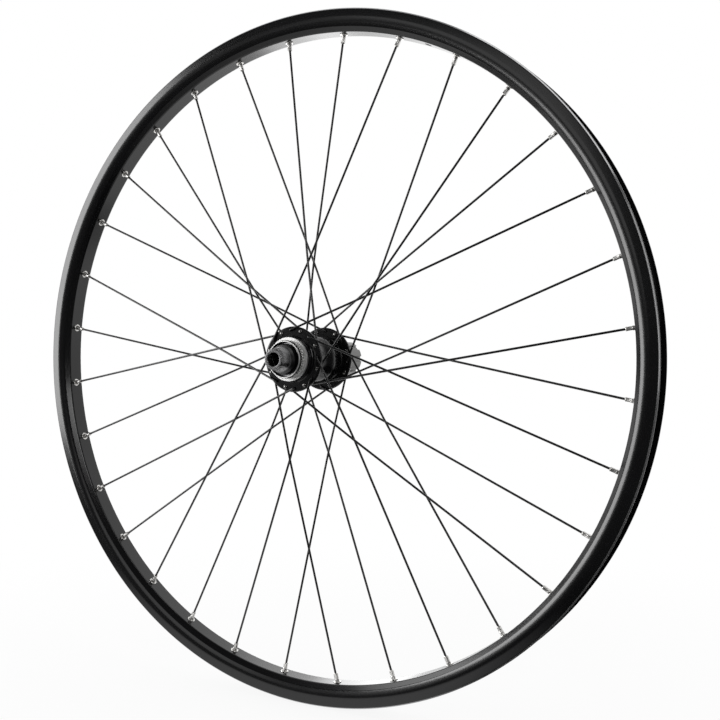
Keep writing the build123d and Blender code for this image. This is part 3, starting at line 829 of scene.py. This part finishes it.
class WHEEL_OT_eyelets(bpy.types.Operator):
    """Build the bright eyelets in the spoke bed"""

    bl_idname = "wheel.eyelets"
    bl_label = "Eyelets"

    def execute(self, context):
        scene = context.scene
        rim, lace = scene.wheel_rim, scene.wheel_lacing
        run = Lacing(scene)
        bore, lip, lip_h = lace.eyelet_bore, lace.eyelet_r, lace.eyelet_lip
        roll, roll_in, roll_out, seat = 0.35 * MM, 0.55 * MM, 0.4 * MM, 0.03 * MM
        sleeve = rim.spoke_hole_r - 0.04 * MM
        outline = eased([
            (bore, rim.bed_wall), (bore, -roll_in), (bore + roll, -lip_h), (lip - roll, -lip_h),
            (lip, -roll_out), (lip, -seat), (sleeve, -seat), (sleeve, rim.bed_wall),
        ], 0.25 * MM, steps=4)
        rings = spun(outline, run.nipple, polar(1.0, run.angle, 0.0), 40)
        shine = plated("bright_plating", scene.wheel_finish.nickel, 0.2)
        sheets = [sheet(rings, wrap_u=True, wrap_v=True)]
        piece("eyelets", sheets, "wheel", shine, ("rim_eyelets",))
        return {"FINISHED"}


class WHEEL_OT_nipples(bpy.types.Operator):
    """Build the nipples: a round neck, four flats for the key and a bevelled end"""

    bl_idname = "wheel.nipples"
    bl_label = "Nipples"

    def execute(self, context):
        scene = context.scene
        lace = scene.wheel_lacing
        run = Lacing(scene)
        r, tail, bevel = lace.nipple_r, -lace.nipple_l, lace.nipple_bevel
        flat_start, flat_stop, run_out = tail + lace.flat_start, tail + lace.flat_stop, 0.3 * MM
        seat = scene.wheel_rim.bed_wall + lace.nipple_seat
        head, head_end = lace.nipple_head, seat + lace.nipple_head
        # Along the shank: place, radius and how square the section is
        shank = np.array([
            (tail, 0, 0), (tail, 0.62 * r, 0), (tail, 0.8 * r, 0), (tail + bevel / 2, 0.94 * r, 0),
            (tail + bevel, r, 0), (flat_start, r, 1), (flat_stop, r, 1),
            (flat_stop + run_out, r, 0), (flat_stop + bevel, r, 0), (seat, r, 0), (seat, head, 0),
            (head_end - lace.head_bevel, head, 0), (head_end, head - lace.head_bevel, 0),
            (head_end, 0, 0),
        ])
        f = around(40)[:, None]
        flat = lace.nipple_flat / np.maximum(np.abs(np.cos(f)), np.abs(np.sin(f)))
        radius = np.where(shank[:, 2] > 0.5, np.minimum(shank[:, 1], flat), shank[:, 1])
        w = run.axis[:, None, None, :]
        u = unit(np.cross(run.axis, run.across))[:, None, None, :]
        v = np.cross(w, u)
        f, radius = f[..., None], radius[..., None]
        points = run.nipple[:, None, None, :] + radius * (np.cos(f) * u + np.sin(f) * v)
        points = points + shank[:, 0, None] * w
        metal = plated("nickel_plating", scene.wheel_finish.nickel, 0.34)
        sheets = [sheet(points, wrap_u=True)]
        piece("nipples", sheets, "wheel", metal, ("spoke_nipples",))
        return {"FINISHED"}


class WHEEL_OT_spokes(bpy.types.Operator):
    """Build the interlaced spokes and their heads"""

    bl_idname = "wheel.spokes"
    bl_label = "Spokes"

    def execute(self, context):
        scene = context.scene
        lace, finish = scene.wheel_lacing, scene.wheel_finish
        run = Lacing(scene)
        end = run.nipple + run.axis * lace.thread_end
        bends = np.stack([run.head, run.elbow, run.crossing, end], axis=1)
        path = eased(bends, np.array([2.6, 9]) * MM, closed=False, steps=9)
        tangent = unit(np.gradient(path, axis=1))
        u = run.across[:, None, :]
        v = unit(np.cross(tangent, u))
        path = np.concatenate([path[:, :1], path, path[:, -1:]], axis=1)
        v = np.concatenate([v[:, :1], v, v[:, -1:]], axis=1)
        r = np.full(path.shape[1], lace.wire_r)
        r[[0, -1]] = 0
        f = around(14)[:, None]
        circle = np.cos(f) * u[:, :, None, :] + np.sin(f) * v[:, :, None, :]
        points = path[:, :, None, :] + r[:, None, None] * circle
        names = [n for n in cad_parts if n.removeprefix("spoke_").isdigit()]
        wire = black_wire(finish.wire)
        piece("spoke_wires", [sheet(points, wrap_v=True)], "wheel", wire, names)

        outline = np.array([(0, 0), (1, 0), (1, 0.3), (0.86, 0.7), (0.5, 0.95), (0, 1)])
        outline = outline * [lace.head_r, lace.head_h]
        heads = sheet(spun(outline, run.head, -run.outward, 24), wrap_u=True)
        metal = plated("spoke_head_steel", [0.25 * c for c in finish.nickel], 0.24)
        piece("spoke_heads", [heads], "wheel", metal)
        return {"FINISHED"}


class WHEEL_OT_hub(bpy.types.Operator):
    """Build the black hub shell with its two drilled flanges"""

    bl_idname = "wheel.hub"
    bl_label = "Hub shell"

    def execute(self, context):
        scene = context.scene
        lace, hub, finish = scene.wheel_lacing, scene.wheel_hub, scene.wheel_finish
        run = Lacing(scene)
        centres = run.angle[0] + run.turn[0] + np.arange(lace.spokes) * 2 * pi / lace.spokes
        swings, columns = sectors(centres, 10)
        even = np.arange(lace.spokes) % 2 == 0
        half_t, half_e = hub.flange_t / 2, hub.edge_t / 2
        drum, root_r = hub.drum_r, hub.drum_r + hub.root_h
        step, foot, fillet = 0.6 * MM, 0.4 * MM, 1 * MM
        edge_r = hub.flat_r - 0.4 * MM
        sheets = []
        for y, root, holes in ((hub.brake_y, root_r, even), (hub.drive_y, drum, ~even)):
            edge = [
                (edge_r, y - half_t), (hub.flat_r, y - half_t), (hub.flange_r, y - half_e),
                (hub.flange_r, y + half_e), (hub.flat_r, y + half_t), (edge_r, y + half_t),
            ]
            sheets.append(sheet(turned(eased(edge, 0.5 * MM, closed=False), columns), wrap_u=True))
            across = np.linspace(root, edge_r, 5)
            faces = []
            for face_y in (y - half_t, y + half_t):

                def place(angle, width, face_y=face_y):
                    return polar(width, angle, face_y)

                holed = pierced(
                    centres[holes], swings, across, hub.hole_r, hub.circle_r, hub.circle_r, place
                )
                sheets.append(sheet(holed, wrap_u=True))
                sheets.append(sheet(plain(centres[~holes], swings, across, place)))
                faces.append(holed)
            sheets.append(bored(*faces))
        front, back = hub.brake_y + half_t, hub.drive_y - half_t
        neck = drum - hub.neck_drop
        drum_end = hub.drive_y - hub.drum_gap
        drum_start = drum_end - hub.drum_l
        middle = [
            (root_r, front),
            (drum, front),
            (hub.barrel_r, front + hub.brake_slope),
            (hub.barrel_r, drum_start - hub.drum_slope),
            (drum, drum_start),
            (drum, drum_end),
            (neck, drum_end + step),
            (neck, back - fillet),
            (drum - foot, back),
            (drum, back),
        ]
        rounds = np.array([0.4, 3, 3, 2.4, 0.6, 0.5, 0.5, 0.3]) * MM
        middle = eased(middle, rounds, closed=False)
        mouth = hub.drive_y + hub.mouth_l
        ratchet_end = mouth - hub.ratchet_l
        brake_face, drive_face = hub.brake_y - half_t, hub.drive_y + half_t
        collar_y, collar_r = hub.brake_y - hub.collar_l, hub.spline_tip + hub.collar_h
        mount_y = collar_y - hub.mount_gap
        ends = [
            (drum, drive_face),
            (neck, drive_face),
            (neck, mouth),
            (hub.ratchet_r, mouth),
            (hub.ratchet_r, ratchet_end),
            (hub.shell_bore, ratchet_end),
            (hub.shell_bore, collar_y),
            (hub.bearing_r, collar_y),
            (hub.bearing_r, mount_y),
            (hub.spline_tip, mount_y),
            (hub.spline_tip, collar_y - hub.mount_gap / 2),
            (collar_r, collar_y),
            (collar_r, brake_face - step),
            (drum + foot / 2, brake_face),
            (root_r, brake_face),
        ]
        ends = eased(ends, 0.35 * MM, closed=False)
        sheets += [sheet(turned(o, columns), wrap_u=True) for o in (middle, ends)]
        gloss = gloss_black(finish.shell, finish.shell_rough)
        piece("hub_barrel", sheets, "wheel", gloss, ("hub_shell",))
        return {"FINISHED"}


class WHEEL_OT_disc_mount(bpy.types.Operator):
    """Build the bright splined mount for the brake disc"""

    bl_idname = "wheel.disc_mount"
    bl_label = "Disc mount"

    def execute(self, context):
        hub, finish = context.scene.wheel_hub, context.scene.wheel_finish
        seat_y, start = disc_places(hub)
        tip, bore, lip = hub.spline_tip, hub.mount_bore, hub.spline_tip - hub.lip_drop
        end, seat_back = start - hub.lip_l, seat_y + hub.seat_t
        run_in, run_out = 0.4 * MM, 0.3 * MM
        outline = eased([
            (bore, end), (lip, end), (lip, start), (tip, start + run_in), (tip, seat_y - run_out),
            (tip, seat_y), (hub.seat_r, seat_y), (hub.seat_r, seat_back), (bore, seat_back),
        ], 0.25 * MM, steps=5)
        angles = around(hub.spline_teeth * 12)
        # Grooves follow a flattened cosine round the axis, along the spline's rows alone
        wave = np.clip(0.5 - 1.4 * np.cos(angles * hub.spline_teeth), 0, 1)[:, None]
        y, r = outline[None, :, 1], outline[None, :, 0]
        along = (y > start + 0.1 * MM) & (y < seat_y - 0.02 * MM)
        on_tips = (r > tip - 0.45 * MM) & (r < tip + 0.01 * MM)
        points = carved(turned(outline, angles), wave * (along & on_tips) * hub.spline_depth, r)
        # The shell's black is also the colour of the painted shade on the spline's band, grooves
        # and bore
        bright = spline_metal(finish.bright, finish.shell, hub)
        sheets = [sheet(points, wrap_u=True, wrap_v=True)]
        piece("disc_spline", sheets, "wheel", bright)
        return {"FINISHED"}


class WHEEL_OT_axle(bpy.types.Operator):
    """Build the axle tube and the two end caps"""

    bl_idname = "wheel.axle"
    bl_label = "Axle and end caps"

    def execute(self, context):
        axle, finish = context.scene.wheel_axle, context.scene.wheel_finish
        mount = disc_places(context.scene.wheel_hub)[1]
        angles = around(160)
        end, bore, bevel = axle.end_y, axle.bore_r, axle.cap_bevel
        mouth, tube, seat = bore + axle.mouth_bevel, axle.tube_r, axle.tube_r + axle.fit
        cap, stop_r = axle.cap_r, axle.stop_r
        grey = cap_metal(finish.cap, finish.shell, axle.skirt_r)
        flare_y, skirt_y = axle.land_l - end, mount - axle.skirt_l
        # The flare's radius grows by the square of the way from the land to the skirt
        s = np.linspace(0, 1, 24)
        flare_r = cap + (axle.skirt_r - cap) * s**2
        flare = np.stack([flare_r, flare_y + (skirt_y - flare_y) * s], axis=1)
        stop, inside, back = axle.brake_stop, axle.tube_start - axle.fit, mount + axle.skirt_back
        ahead = eased([
            (seat, stop), (seat, inside), (bore, inside), (bore, axle.mouth_bevel - end),
            (mouth, -end), (cap - bevel, -end), (cap, bevel - end), tuple(flare[0]),
        ], 0.25 * MM, closed=False, steps=5)
        behind = eased([
            tuple(flare[-2]), (axle.skirt_r, skirt_y), (axle.skirt_r, back),
            (stop_r, back), (stop_r, stop), (seat, stop),
        ], np.array([0.5, 0.3, 0.2, 0.2]) * MM, closed=False, steps=5)
        outline = np.concatenate([ahead[:-1], flare[:-2], behind[:-1]])
        sheets = [ring(outline, angles)]
        piece("brake_cap", sheets, "axle", grey, ("brake_side_end_cap",))

        stop, step, inside = axle.drive_stop, axle.drive_step, axle.tube_end + axle.fit
        outline = eased([
            (seat, stop), (stop_r, stop), (stop_r, step), (cap, step), (cap, end - bevel),
            (cap - bevel, end), (mouth, end), (bore, end - axle.mouth_bevel), (bore, inside),
            (seat, inside),
        ], 0.25 * MM, steps=5)
        sheets = [ring(outline, angles)]
        piece("drive_cap", sheets, "axle", grey, ("drive_side_end_cap",))

        outline = eased([
            (bore, axle.tube_start), (tube, axle.tube_start), (tube, axle.shoulder_start),
            (axle.shoulder_r, axle.shoulder_start), (axle.shoulder_r, axle.shoulder_end),
            (tube, axle.shoulder_end), (tube, axle.tube_end), (bore, axle.tube_end),
        ], 0.2 * MM, steps=4)
        metal = turned_metal("axle_aluminium", finish.driver, 0.34)
        piece("axle_tube", [ring(outline, angles)], "axle", metal, ("axle",))
        return {"FINISHED"}


class WHEEL_OT_driver(bpy.types.Operator):
    """Build the freewheel driver: splined barrel, collar, neck and the nose that holds the pawls"""

    bl_idname = "wheel.driver"
    bl_label = "Freewheel driver"

    def execute(self, context):
        driver, finish = context.scene.wheel_driver, context.scene.wheel_finish
        r, end, nose, neck = driver.outer_r, driver.end_y, driver.nose_r, driver.neck_r
        start = end - driver.barrel_l
        collar, collar_r = start + driver.collar_l, driver.collar_r
        first, last, edge = driver.pocket_start, driver.pocket_end, 0.05 * MM
        seat, bore, inner = driver.bearing_r, driver.bore_r, driver.inner_r
        inboard, relief = driver.inboard_y, driver.inboard_y - driver.relief_l
        outline = eased([
            (inner, driver.nose_start), (nose, driver.nose_start),
            (nose, first - edge), (nose, first + edge), (nose, last - edge), (nose, last + edge),
            (nose, driver.nose_end), (neck, driver.nose_end), (neck, start),
            (collar_r, start), (collar_r, collar), (r, collar), (r, collar + 0.2 * MM), (r, end),
            (seat, end), (seat, driver.outboard_y), (bore, driver.outboard_y),
            (bore, driver.inboard_end), (seat, driver.inboard_end), (seat, inboard),
            (driver.relief_r, inboard), (driver.relief_r, relief), (inner, relief),
        ], 0.3 * MM, steps=4)
        angles = around(540)
        y, radius = outline[None, :, 1], outline[None, :, 0]
        # Spline grooves: a flat floor with steep sides, repeated round the barrel
        half = driver.groove_w / 2 / r
        pitch = 2 * pi / driver.splines
        off = np.abs((angles + pitch / 2) % pitch - pitch / 2)[:, None]
        groove = np.clip((half - off) / (0.12 * half) + 1, 0, 1) * driver.groove_depth
        on_barrel = (y > collar + 0.01 * MM) & (radius > r - 0.5 * MM)
        # Pawl pockets: the floor is a line from the heel's socket to the toe, in polar form
        turn = (angles % (2 * pi / driver.pawls))[:, None]
        floor = driver.pocket_floor / np.cos(turn - driver.pocket_way)
        inside = (turn > driver.pocket_from) & (turn < driver.pocket_to)
        pocket = np.where(inside, np.clip(nose - floor, 0, driver.pocket_depth), 0)
        on_nose = (y > first) & (y < last) & (radius > nose - 0.2 * MM)
        points = carved(turned(outline, angles), groove * on_barrel + pocket * on_nose, radius)
        metal = turned_metal("machined_aluminium", finish.driver, 0.36)
        sheets = [sheet(points, wrap_u=True, wrap_v=True)]
        piece("driver_barrel", sheets, "driver", metal, ("freewheel_driver",))
        return {"FINISHED"}


class WHEEL_OT_inner_parts(bpy.types.Operator):
    """Finish the inner pieces that keep their solids, and build the bearings' shields"""

    bl_idname = "wheel.inner_parts"
    bl_label = "Inner parts"

    def execute(self, context):
        finish = context.scene.wheel_finish
        steel = turned_metal("ground_steel", finish.steel, 0.28)
        bare = turned_metal("spacer_aluminium", finish.driver, 0.4)
        rubber = soft_rubber(finish.rubber)
        for name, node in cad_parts.items():
            material = None
            if name.endswith("_race") or name.startswith("pawl_") or name == "ratchet_ring":
                material = steel
            elif name.endswith("_spacer"):
                material = bare
            elif name == "hub_seal":
                material = rubber
            if material:
                node.data.materials.clear()
                node.data.materials.append(material)
        # Inner and outer radius, then start and stop along the axle, in millimetres
        for name, body, inner, outer, start, stop in (
            ("driver_bearing_shield", "driver", 10.95, 12.1, 60.6, 61.05),
            ("brake_bearing_shield", "wheel", 11.95, 13.9, -46.05, -45.6),
        ):
            corners = [(inner, start), (outer, start), (outer, stop), (inner, stop)]
            outline = eased(corners, 0.12, steps=3) * MM
            piece(name, [ring(outline, around(120))], body, rubber)
        return {"FINISHED"}


class WHEEL_OT_stage(bpy.types.Operator):
    """Set up the floor, the white surroundings, the lamps and the camera"""

    bl_idname = "wheel.stage"
    bl_label = "Stage"

    def execute(self, context):
        scene = context.scene
        stage = scene.wheel_stage
        scene.view_settings.view_transform = "Standard"
        self.surroundings(scene)
        self.floor(scene)
        for name, watts, size, place in (
            ("key_lamp", stage.key, (0.71, 1.1), (-1.69, -1.38, 0.3)),
            ("top_lamp", stage.top, (0.7, 1.6), (0.9, -0.05, 1.75)),
            ("fill_lamp", stage.fill, (0.35, 1.0), (1.42, -1.52, 0.72)),
            ("back_lamp", stage.back, (1.6, 1.6), (-1.0, 1.6, 0.1)),
            ("low_lamp", stage.low, (0.9, 0.36), (-0.6, 1.05, -0.12)),
            ("side_lamp", stage.side, (0.36, 1.6), (2.1, -0.45, 0.5)),
            ("edge_lamp", stage.edge, (0.3, 0.8), (-1.33, -1.73, 0.2)),
            ("front_lamp", stage.front, (0.66, 0.7), (-0.616, -1.84, 0.484)),
            ("upper_lamp", stage.upper, (0.7, 1.2), (-1.7, -0.2, 0.88)),
        ):
            lamp = bpy.data.lights.new(name, "AREA")
            lamp.shape = "RECTANGLE"
            lamp.size, lamp.size_y = size
            lamp.energy = watts
            holder = bpy.data.objects.new(name, lamp)
            holder.location = place
            holder.rotation_mode = "QUATERNION"
            holder.rotation_quaternion = (-Vector(place)).to_track_quat("-Z", "Y")
            holder.visible_camera = False
            scene.collection.objects.link(holder)
        lens = bpy.data.cameras.new("camera")
        lens.sensor_width = 36
        lens.lens = stage.lens
        lens.clip_start = 0.01
        camera = bpy.data.objects.new("camera", lens)
        a, e, yaw, pitch = stage.azimuth, stage.elevation, stage.yaw, stage.pitch
        camera.location = Vector((sin(a) * cos(e), -cos(a) * cos(e), sin(e))) * stage.distance
        look = Vector((-sin(yaw) * cos(pitch), cos(yaw) * cos(pitch), -sin(pitch)))
        camera.rotation_mode = "QUATERNION"
        camera.rotation_quaternion = look.to_track_quat("-Z", "Y")
        scene.collection.objects.link(camera)
        scene.camera = camera
        return {"FINISHED"}

    def surroundings(self, scene):
        """White for the camera, and for other rays white behind the wheel and dim in front."""
        world = bpy.data.worlds.new("studio")
        world.use_nodes = True
        scene.world = world
        nodes = Nodes(world.node_tree)
        seen = nodes.node("ShaderNodeLightPath")["Is Camera Ray"]
        way = nodes.node("ShaderNodeTexCoord")["Generated"]
        back = world.node_tree.nodes["Background"]
        nodes.feed(back.inputs["Color"], (1, 1, 1, 1))
        nodes.feed(back.inputs["Strength"], seen + (1 - seen) * nodes.behind(way))

    def floor(self, scene):
        """A white floor just under the rim that keeps a trace of the wheel's shadow."""
        reach = np.array([-4.0, 4.0])
        x, y = np.meshgrid(reach, reach, indexing="ij")
        points, faces = sheet(np.stack([x, y, np.full_like(x, solid_box[0].z - MM)], axis=-1))
        mesh = bpy.data.meshes.new("floor")
        mesh.from_pydata(points.tolist(), [], faces.tolist())
        f = Finish("white_floor")
        f.set(Base_Color=(0.82, 0.82, 0.82, 1), Roughness=0.7)
        # The camera sees white with a trace of shadow near the wheel. Reflections find white behind
        # the wheel and left of it, and far off the floor goes on like the surroundings.
        ray = f.node("ShaderNodeLightPath")
        seen = ray["Is Camera Ray"]
        far = f.node("ShaderNodeVectorMath", {"operation": "LENGTH"}, {0: f.place})["Value"]
        way = f.node("ShaderNodeVectorMath", {"operation": "NORMALIZE"}, {0: f.place})["Vector"]
        near = f.ramp(f.y, -0.5, -0.1) * f.ramp(f.x, 0.18, 0.08)
        unseen = 1 - seen
        reflected = near.math("MAXIMUM", near, f.ramp(far, 0.5, 1) * f.behind(way))
        white = seen + unseen * reflected
        glow = f.node("ShaderNodeEmission", inputs={"Color": white})["Emission"]
        shown = seen * f.ramp(far, 0.25, 0.9, 0.9, 1)
        shown = shown + ray["Is Glossy Ray"] + ray["Is Transmission Ray"]
        plain_white = Wire(f, f.shader.outputs["BSDF"])
        mixed = f.node("ShaderNodeMixShader", inputs={0: shown, 1: plain_white, 2: glow})["Shader"]
        f.feed(f.tree.nodes["Material Output"].inputs["Surface"], mixed)
        mesh.materials.append(f.material)
        floor = bpy.data.objects.new("floor", mesh)
        scene.collection.objects.link(floor)


PIECES = (
    WHEEL_OT_rim, WHEEL_OT_eyelets, WHEEL_OT_nipples, WHEEL_OT_spokes, WHEEL_OT_hub,
    WHEEL_OT_disc_mount, WHEEL_OT_axle, WHEEL_OT_driver, WHEEL_OT_inner_parts, WHEEL_OT_stage,
)
SETTINGS = {
    "wheel_rim": RimSizes, "wheel_lacing": LacingSizes, "wheel_hub": HubSizes,
    "wheel_axle": AxleSizes, "wheel_driver": DriverSizes, "wheel_finish": Finishes,
    "wheel_stage": StageSettings,
}


class WHEEL_PT_pieces(bpy.types.Panel):
    """Buttons that build the wheel's pieces, and their sizes"""

    bl_label = "Rear wheel"
    bl_space_type = "VIEW_3D"
    bl_region_type = "UI"
    bl_category = "Wheel"

    def draw(self, context):
        for operator in PIECES:
            self.layout.operator(operator.bl_idname)
        for group in SETTINGS:
            box = self.layout.box()
            owner = getattr(context.scene, group)
            for name in owner.__annotations__:
                box.prop(owner, name)


def register():
    """Register the settings, the operators and the panel."""
    for name, group in SETTINGS.items():
        bpy.utils.register_class(group)
        setattr(bpy.types.Scene, name, PointerProperty(type=group))
    for cls in (*PIECES, WHEEL_PT_pieces):
        bpy.utils.register_class(cls)


def unregister():
    """Remove what register added."""
    for cls in (WHEEL_PT_pieces, *reversed(PIECES)):
        bpy.utils.unregister_class(cls)
    for name, group in SETTINGS.items():
        delattr(bpy.types.Scene, name)
        bpy.utils.unregister_class(group)


def main():
    """Build every piece in order."""
    register()
    for operator in PIECES:
        group, name = operator.bl_idname.split(".")
        getattr(getattr(bpy.ops, group), name)()


if __name__ == "__main__":
    main()
